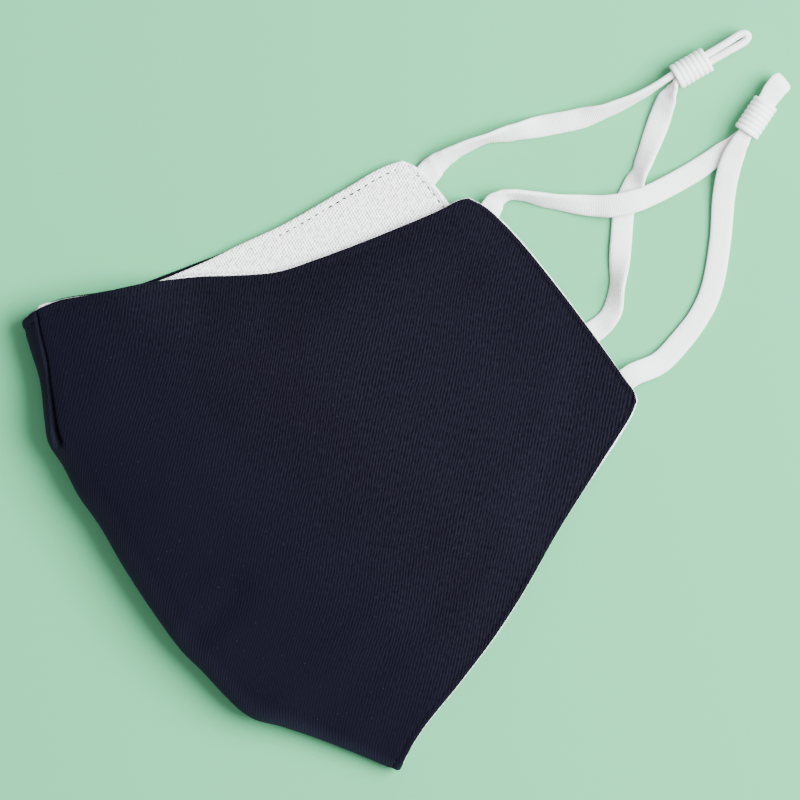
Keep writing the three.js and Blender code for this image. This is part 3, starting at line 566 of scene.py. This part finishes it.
def dart_groove(g):
    """Depth of the nose dart: a seam that sinks from the hem and ends in a deep pucker."""
    t, degrees = g["t"], column_value[None, :]
    run = np.clip((t - DART_POINT) / (1 - DART_POINT), 0, 1)
    centre = np.interp(run, *np.array(DART_PATH).T)
    offset = np.where(is_bend[None, :], (degrees - centre) * math.pi / 180 * 6.3, 1e3)
    offset = np.where(is_upper[None, :] & ~is_bend[None, :], 1e3, offset)
    ends = smooth((t - DART_POINT + 0.008) / 0.012)
    depth = (0.5 + 1.7 * (1 - run) ** 2.2) * ends
    reach_in = 0.3 + 0.3 * (1 - run) ** 2
    reach_out = 0.4 + 0.75 * (1 - run) ** 2 + 0.3 * (1 - run) ** 8
    groove = depth * np.exp(-np.abs(offset / np.where(offset > 0, reach_in, reach_out)) ** 2.4)
    pucker = 0.7 * np.exp(-((t - DART_POINT - 0.012) / 0.016) ** 2 - ((offset + 0.15) / 0.8) ** 2)
    return groove + pucker


shell_outside, base = layer_grid(0)
normals = grid_normals(shell_outside)
edge_gap = {
    "ear": base["s"] * base["row_length"], "top": (1 - base["t"]) * base["height"],
    "bottom": base["t"] * base["height"]}
rim_distance = np.minimum(np.minimum(edge_gap["ear"], edge_gap["top"]), edge_gap["bottom"])
hem_share = np.minimum.reduce([edge_gap[side] / STITCH_LINES[side] for side in STITCH_LINES])
along_edge = np.where(edge_gap["ear"] < np.minimum(edge_gap["top"], edge_gap["bottom"]),
                      base["t"] * 60, base["s"] * 100)
upper_only = np.where(is_upper[None, :], 1.0, 0.0) * np.where(
    is_bend[None, :], np.sin(np.radians(np.abs(column_value)))[None, :], 1.0)
relief = 0.16 * rumple(base["plan"], 34, 9, 3) * upper_only
relief += 0.05 * rumple(base["plan"], 13, 12, 5) * upper_only
pull = np.exp(-((rim_distance - 2.6) / 2.2) ** 2)
ripple = np.sin(along_edge * 2 * math.pi / 5.3 + 2.0 * np.sin(along_edge / 7.1)) * 0.6 + np.sin(
    along_edge * 2 * math.pi / 3.1 + 1.7 * np.sin(along_edge / 4.3)) * 0.4
body_shift = relief + 0.07 * ripple * pull * upper_only - dart_groove(base)


def cloth_layer(layer, outer_inset, thickness):
    """The two faces of a layer, with rolled hems. Both follow the shell's outside and its relief."""
    faces = []
    for inset in (outer_inset, outer_inset + thickness):
        points, g = layer_grid(inset)
        for (half, side), table in EDGE_SHIFTS[layer].items():
            shares, reaches = np.array(table).T
            share = g["t"] if side == "ear" else g["s"]
            curve = edges[half, side]
            step = curve(np.clip(share + 0.004, 0, 1)) - curve(np.clip(share - 0.004, 0, 1))
            step = unit(step) * (-1 if side == "bottom" else 1)
            outward = np.stack([step[..., 1], -step[..., 0]], -1)
            mine = (is_upper if half == "upper" else ~is_upper)[None, :]
            fade = np.exp(-(edge_gap[side] / 2.5) ** 2) * mine
            points[..., :2] += outward * (np.interp(share, shares, reaches) * fade)[..., None]
        faces.append(points + normals * body_shift[..., None])
    outside, inside = faces
    middle = (outside + inside) / 2
    half = thickness / 2
    round_off = np.sqrt(1 - (1 - np.clip(rim_distance / half, 0, 1)) ** 2)[..., None]
    groove = -0.16 * np.exp(-((hem_share - 1) / 0.22) ** 2) + 0.12 * np.exp(-((hem_share - 0.5) / 0.3) ** 2)
    groove += -0.05 * np.cos(along_edge * math.pi) * np.exp(-((hem_share - 1) / 0.35) ** 2)
    swell = normals * (groove * round_off[..., 0])[..., None]
    return middle + (outside - middle) * round_off + swell, middle + (inside - middle) * round_off - swell


# Pattern coordinates of the cloth, so that the weave runs round the bend as it does on the flat halves.
bend_start = int(np.argmax(is_bend))
bend_end = len(is_bend) - int(np.argmax(is_bend[::-1]))
arc = np.cumsum(np.linalg.norm(np.diff(shell_outside, axis=1), axis=-1), axis=1)
arc = np.concatenate([np.zeros((len(row_kinds), 1)), arc], axis=1)
arc -= arc[:, bend_start:bend_start + 1]
pattern = base["plan"].copy()
rolled = pattern[:, bend_start:bend_start + 1] - base["inward"][:, bend_start:bend_start + 1] * arc[..., None]
pattern[:, bend_start:bend_end] = rolled[:, bend_start:bend_end]
mirrored = base["plan"] * (-1, 1) + (0, 7.3)


def cloth_piece(name, grids, material):
    """A closed piece from the two faces of a layer, welded along its hems."""
    outside, inside = grids
    rows, columns = outside.shape[:2]
    border = np.zeros((rows, columns), bool)
    border[0] = border[-1] = border[:, 0] = border[:, -1] = True
    inner_index = np.arange(rows * columns).reshape(rows, columns)
    extra = rows * columns + np.cumsum(~border.ravel()).reshape(rows, columns) - 1
    inner_index = np.where(border, inner_index, extra)
    vertices = np.vstack([outside.reshape(-1, 3), inside[~border]])
    vertices[:, :2] += FRAME_SHIFT
    vertices[:, 2] = np.maximum(vertices[:, 2], 0.02)
    quads = grid_faces(rows, columns)
    faces = np.vstack([quads, inner_index.ravel()[quads][:, ::-1]])
    columns_of = np.broadcast_to(np.arange(columns - 1), (rows - 1, columns - 1)).ravel()
    lower = (columns_of >= bend_end - 1)[:, None, None]
    flat, turned = pattern.reshape(-1, 2), mirrored.reshape(-1, 2)
    uv_out = np.where(lower, turned[quads], flat[quads])
    uvs = np.vstack([uv_out.reshape(-1, 2), uv_out[:, ::-1].reshape(-1, 2)])
    piece = make_piece(name, vertices, faces[:, ::-1], uvs.reshape(-1, 4, 2)[:, ::-1].reshape(-1, 2),
                       material)
    # The bend share is highest on the fold's steep flank, and the navy twill uses it to place the painted light on
    # the fold.
    bend = np.where(is_bend, 1 - np.sin(np.radians(np.abs(column_value))), 0)
    bend = np.broadcast_to(bend, (rows, columns))
    share = piece.data.attributes.new("bend", "FLOAT", "POINT")
    share.data.foreach_set("value", np.r_[bend.ravel(), bend[~border]].astype(np.float32))
    return piece


# Cotton twill, dyed navy. Its wale lines lean at 45 degrees to the yarns, 0.62 mm apart, and each is
# broken into the short floats of single yarns. The nap gives a faint grey bloom, and a few pale specks
# of lint sit on it.
TWILL_PITCH = 0.66
TWILL_SLANT = math.radians(37)
FLOAT_LENGTH = 1.5
NAVY_LIGHT = "#13111D"
NAVY_DEEP = "#030307"
NAVY_MIDDLE = "#080713"
NAVY_FOLD_PAINTED_LIGHT = "#262838"  # painted light: the fold's flank faces away from the lamp, so it is painted paler in place of the light it lacks
LINT = "#343444"

navy_twill, tree, output = new_material("navy_cotton_twill")
cloth_uv = add_node(tree, "ShaderNodeUVMap", {"uv_map": "cloth_mm"}).outputs[0]
sway = add_node(tree, "ShaderNodeTexNoise", {"noise_dimensions": "2D"}, Vector=cloth_uv, Scale=0.018,
                Detail=1.0)
waver = add_node(tree, "ShaderNodeTexNoise", {"noise_dimensions": "2D"}, Vector=cloth_uv, Scale=0.25,
                 Detail=2.0)
swayed = add_node(tree, "ShaderNodeVectorMath", {"operation": "MULTIPLY_ADD"}, _0=sway.outputs[1],
                  _1=(7, 7, 0), _2=cloth_uv)
strayed = add_node(tree, "ShaderNodeVectorMath", {"operation": "MULTIPLY_ADD"}, _0=waver.outputs[1],
                   _1=(0.5, 0.5, 0), _2=swayed.outputs[0])
across = add_node(tree, "ShaderNodeVectorMath", {"operation": "DOT_PRODUCT"}, _0=strayed.outputs[0],
                  _1=(math.sin(TWILL_SLANT), -math.cos(TWILL_SLANT), 0))
along = add_node(tree, "ShaderNodeVectorMath", {"operation": "DOT_PRODUCT"}, _0=strayed.outputs[0],
                 _1=(math.cos(TWILL_SLANT), math.sin(TWILL_SLANT), 0))
wale = add_node(tree, "ShaderNodeMath", {"operation": "SINE"}, _0=add_node(
    tree, "ShaderNodeMath", {"operation": "MULTIPLY"}, _0=across.outputs[1],
    _1=2 * math.pi / TWILL_PITCH).outputs[0])
float_place = add_node(tree, "ShaderNodeCombineXYZ", X=add_node(
    tree, "ShaderNodeMath", {"operation": "DIVIDE"}, _0=across.outputs[1], _1=TWILL_PITCH).outputs[0],
    Y=add_node(tree, "ShaderNodeMath", {"operation": "DIVIDE"}, _0=along.outputs[1],
               _1=FLOAT_LENGTH).outputs[0])
floats = add_node(tree, "ShaderNodeTexNoise", {"noise_dimensions": "2D"}, Vector=float_place.outputs[0],
                  Scale=1.3, Detail=2.0, Roughness=0.6)
weave = add_node(tree, "ShaderNodeMath", {"operation": "MULTIPLY_ADD"}, _0=floats.outputs[0], _1=3.0,
                 _2=wale.outputs[0])
raised = add_node(tree, "ShaderNodeMapRange", Value=weave.outputs[0], From_Min=0.3, From_Max=2.9)
from_fold = add_node(tree, "ShaderNodeSeparateXYZ", Vector=cloth_uv)
pressed = add_node(tree, "ShaderNodeMapRange", {"interpolation_type": "SMOOTHSTEP"},
                   Value=from_fold.outputs[0], From_Min=12, From_Max=62, To_Min=0.82, To_Max=0.0)
colour = add_node(tree, "ShaderNodeMix", {"data_type": "RGBA"}, Factor=raised.outputs[0],
                  _6=linear(NAVY_DEEP), _7=linear(NAVY_LIGHT))
colour = add_node(tree, "ShaderNodeMix", {"data_type": "RGBA"}, Factor=pressed.outputs[0],
                  _6=colour.outputs[2], _7=linear(NAVY_MIDDLE))
# Painted light: the bend share paints the fold's flank paler where it faces away from the lamp and would lie in
# shade.
on_bend = add_node(tree, "ShaderNodeAttribute", {"attribute_name": "bend"})
colour = add_node(tree, "ShaderNodeMix", {"data_type": "RGBA"}, Factor=on_bend.outputs["Fac"],
                  _6=colour.outputs[2], _7=linear(NAVY_FOLD_PAINTED_LIGHT))
specks = add_node(tree, "ShaderNodeTexNoise", {"noise_dimensions": "2D"}, Vector=cloth_uv, Scale=1.9,
                  Detail=1.0)
speck = add_node(tree, "ShaderNodeMapRange", Value=specks.outputs[0], From_Min=0.8, From_Max=0.86,
                 To_Max=0.4)
colour = add_node(tree, "ShaderNodeMix", {"data_type": "RGBA"}, Factor=speck.outputs[0],
                  _6=colour.outputs[2], _7=linear(LINT))
bump = add_node(tree, "ShaderNodeBump", Strength=0.35, Distance=0.0001, Height=weave.outputs[0])
shader = add_node(tree, "ShaderNodeBsdfPrincipled", Base_Color=colour.outputs[2], Roughness=0.85,
                  Normal=bump.outputs[0])
shader.inputs["Specular IOR Level"].default_value = 0.03
shader.inputs["Sheen Weight"].default_value = 0.03
shader.inputs["Sheen Roughness"].default_value = 0.5
shader.inputs["Sheen Tint"].default_value = linear("#B0C0DC")
tree.links.new(shader.outputs[0], output.inputs[0])

shell = cloth_piece("outer_shell_twill", cloth_layer("shell", 0, SHELL_THICKNESS), navy_twill)
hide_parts("outer_shell")
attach(shell, "root")

# White cotton lining in a fine slanting weave. It takes the light softly and shows its threads only
# as a faint grain.
LINING_THREADS = [(math.radians(103), 0.59), (math.radians(-13.5), 0.64)]  # direction and pitch
LINING_WHITE = "#FDFDFD"
LINING_SHADE = "#AAA6AE"

white_cotton, tree, output = new_material("white_cotton_lining")
cloth_uv = add_node(tree, "ShaderNodeUVMap", {"uv_map": "cloth_mm"}).outputs[0]
slub = add_node(tree, "ShaderNodeTexNoise", {"noise_dimensions": "2D"}, Vector=cloth_uv, Scale=1.1,
                Detail=4.0, Roughness=0.65)
weave = add_node(tree, "ShaderNodeMath", {"operation": "MULTIPLY"}, _0=slub.outputs[0], _1=4.0)
for slant, pitch in LINING_THREADS:
    across = add_node(tree, "ShaderNodeVectorMath", {"operation": "DOT_PRODUCT"}, _0=cloth_uv,
                      _1=(math.sin(slant) * 2 * math.pi / pitch, -math.cos(slant) * 2 * math.pi / pitch, 0))
    thread = add_node(tree, "ShaderNodeMath", {"operation": "SINE"}, _0=across.outputs[1])
    weave = add_node(tree, "ShaderNodeMath", {"operation": "MULTIPLY_ADD"}, _0=thread.outputs[0],
                     _1=0.55, _2=weave.outputs[0])
tint = add_node(tree, "ShaderNodeMapRange", Value=weave.outputs[0], From_Min=0.8, From_Max=2.5)
colour = add_node(tree, "ShaderNodeMix", {"data_type": "RGBA"}, Factor=tint.outputs[0],
                  _6=linear(LINING_SHADE), _7=linear(LINING_WHITE))
bump = add_node(tree, "ShaderNodeBump", Strength=0.7, Distance=0.0001, Height=weave.outputs[0])
shader = add_node(tree, "ShaderNodeBsdfPrincipled", Base_Color=colour.outputs[2], Roughness=0.9,
                  Normal=bump.outputs[0])
shader.inputs["Specular IOR Level"].default_value = 0.25
tree.links.new(shader.outputs[0], output.inputs[0])

lining = cloth_piece("lining_cotton", cloth_layer("lining", SHELL_THICKNESS + LAYER_GAP, LINING_THICKNESS),
                     white_cotton)
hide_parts("lining")
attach(lining, "root")

# Topstitching. One row of navy polyester thread runs round the hems through both layers, 2 mm to a
# stitch. It sinks into the twill, and on the lining it shows as short dark dashes.
STITCH_PITCH = 1.88
THREAD_RADIUS = 0.19
# How deep the stitches are pulled in, in thread radii, at distances in millimetres from a row's end.
SHELL_SINK = [(0, 0.5), (300, 0.5)]
LINING_SINK = [(0, 1.1), (4, 0.6), (9, 0.4), (12, 0.0), (15, 0.05), (18, 0.3), (20.5, 0.75),
               (23, 0.5), (26, 0.5), (31, 0.6), (36, 1.1), (60, 1.1), (300, 1.0)]

navy_thread, tree, output = new_material("navy_polyester_thread")
twist = add_node(tree, "ShaderNodeTexNoise", Vector=add_node(
    tree, "ShaderNodeTexCoord").outputs["Object"], Scale=4000.0, Detail=2.0)
colour = add_node(tree, "ShaderNodeMix", {"data_type": "RGBA"}, Factor=twist.outputs[0],
                  _6=linear("#030306"), _7=linear("#0C0C14"))
bump = add_node(tree, "ShaderNodeBump", Strength=0.3, Distance=0.00004, Height=twist.outputs[0])
shader = add_node(tree, "ShaderNodeBsdfPrincipled", Base_Color=colour.outputs[2], Roughness=0.7,
                  Normal=bump.outputs[0])
shader.inputs["Specular IOR Level"].default_value = 0.05
tree.links.new(shader.outputs[0], output.inputs[0])


def stitch_row(line, up, hidden, length, radius, random):
    """Stitches along a line of points on the cloth, as flattened beads of thread that lie in it."""
    reach = np.r_[0, np.cumsum(np.linalg.norm(np.diff(line, axis=0), axis=1))]
    middles = np.arange(STITCH_PITCH, reach[-1] - STITCH_PITCH / 2, STITCH_PITCH)
    spot = lambda values, where: np.stack([np.interp(where, reach, values[:, k]) for k in range(3)], -1)
    lengths = length * (0.75 + 0.5 * random.rand(len(middles)))
    centre = spot(line, middles)
    along = unit(spot(line, middles + 0.4) - spot(line, middles - 0.4))
    normal = unit(spot(up, middles))
    across = unit(np.cross(normal, along))
    rings, sides = 7, 8
    polar = np.linspace(0, math.pi, rings)[:, None]
    around = (np.arange(sides) / sides * 2 * math.pi)[None, :]
    bead = np.stack([np.broadcast_to(np.cos(polar), (rings, sides)), np.sin(polar) * np.cos(around),
                     np.sin(polar) * np.sin(around)], -1).reshape(-1, 3)
    bead[:, 1:] = np.sign(bead[:, 1:]) * np.abs(bead[:, 1:])
    size = np.stack([lengths / 2, np.full(len(middles), radius), np.full(len(middles), radius * 0.8)], -1)
    local = bead[None] * size[:, None]
    sunk = (0.75 + 0.5 * random.rand(len(middles))) * np.interp(reach[-1] - middles, *np.array(hidden).T)
    lift = radius * (0.3 + 0.35 * bead[:, 0][None] - sunk[:, None])
    points = (centre[:, None] + along[:, None] * local[..., :1] + across[:, None] * local[..., 1:2]
              + normal[:, None] * (local[..., 2:] + lift[..., None]))
    quads = grid_faces(rings, sides, closed=True)
    faces = (quads[None] + (np.arange(len(middles)) * rings * sides)[:, None, None]).reshape(-1, 4)
    return points.reshape(-1, 3), faces


def topstitch(name, grid, facing, hidden, length, radius, seed):
    """A piece with the stitches of all hems on one face of the cloth."""
    random = np.random.RandomState(seed)
    up = grid_normals(grid) * facing
    row_at = {side: int(np.argmin(np.abs(np.array(HEM_STEPS) - STITCH_LINES[side]))) for side in STITCH_LINES}
    last_row, last_column = grid.shape[0] - 1, grid.shape[1] - 1
    ear, top, bottom = row_at["ear"], last_row - row_at["top"], row_at["bottom"]
    runs = [
        (grid[top, ear:last_column - ear], up[top, ear:last_column - ear]),
        (grid[bottom, ear:last_column - ear], up[bottom, ear:last_column - ear]),
        (grid[bottom:top, ear], up[bottom:top, ear]),
        (grid[bottom:top, last_column - ear], up[bottom:top, last_column - ear]),
    ]
    vertices, faces, count = [], [], 0
    for line, normal in runs:
        points, quads = stitch_row(line, normal, hidden, length, radius, random)
        vertices.append(points)
        faces.append(quads + count)
        count += len(points)
    vertices = np.vstack(vertices)
    vertices[:, :2] += FRAME_SHIFT
    vertices[:, 2] = np.maximum(vertices[:, 2], 0.01)
    faces = np.vstack(faces)
    piece = make_piece(name, vertices, faces, vertices[faces.ravel()][:, :2], navy_thread)
    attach(piece, "root")
    return piece


shell_faces = cloth_layer("shell", 0, SHELL_THICKNESS)
lining_faces = cloth_layer("lining", SHELL_THICKNESS + LAYER_GAP, LINING_THICKNESS)
topstitch("topstitch_shell", shell_faces[0], 1, SHELL_SINK, 1.4, THREAD_RADIUS, 11)
topstitch("topstitch_lining", lining_faces[1], -1, LINING_SINK, 1.1, THREAD_RADIUS, 12)

# Table top and light. The mask lies on a wide sheet of pale mint paper under a large soft lamp from the
# picture's right and a bright room.
TABLE_COLOUR = "#2E9C66"
paper, tree, output = new_material("mint_paper")
grain = add_node(tree, "ShaderNodeTexNoise", Vector=add_node(
    tree, "ShaderNodeTexCoord").outputs["Object"], Scale=600.0, Detail=3.0)
bump = add_node(tree, "ShaderNodeBump", Strength=0.05, Distance=0.0001, Height=grain.outputs[0])
shader = add_node(tree, "ShaderNodeBsdfPrincipled", Base_Color=linear(TABLE_COLOUR), Roughness=0.8,
                  Normal=bump.outputs[0])
shader.inputs["Specular IOR Level"].default_value = 1.0
shader.inputs["IOR"].default_value = 1.6
tree.links.new(shader.outputs[0], output.inputs[0])
bpy.ops.mesh.primitive_plane_add(size=6, location=(0, 0, 0))
table_top = bpy.context.object
table_top.name = "table_top"
table_top.data.materials.append(paper)

LAMP_DISTANCE = 1.1
LAMP_ELEVATION = math.radians(47)
LAMP_TURN = math.radians(-31)  # from +X; the picture's right is at -40
lamp = bpy.data.objects.new("soft_lamp", bpy.data.lights.new("soft_lamp", "AREA"))
bpy.context.scene.collection.objects.link(lamp)
lamp.data.shape = "DISK"
lamp.data.size = 0.9
lamp.data.energy = 66
lamp.data.color = (0.90, 1.0, 0.965)
toward = np.array([math.cos(LAMP_TURN) * math.cos(LAMP_ELEVATION),
                   math.sin(LAMP_TURN) * math.cos(LAMP_ELEVATION), math.sin(LAMP_ELEVATION)])
lamp.location = (toward * LAMP_DISTANCE).tolist()
lamp.rotation_mode = "QUATERNION"
lamp.rotation_quaternion = Vector((-toward).tolist()).to_track_quat("-Z", "Y")
world = bpy.data.worlds.new("bright_room")
bpy.context.scene.world = world
world.use_nodes = True
world.node_tree.nodes["Background"].inputs[0].default_value = linear("#FFE6EC")
world.node_tree.nodes["Background"].inputs[1].default_value = 1.08
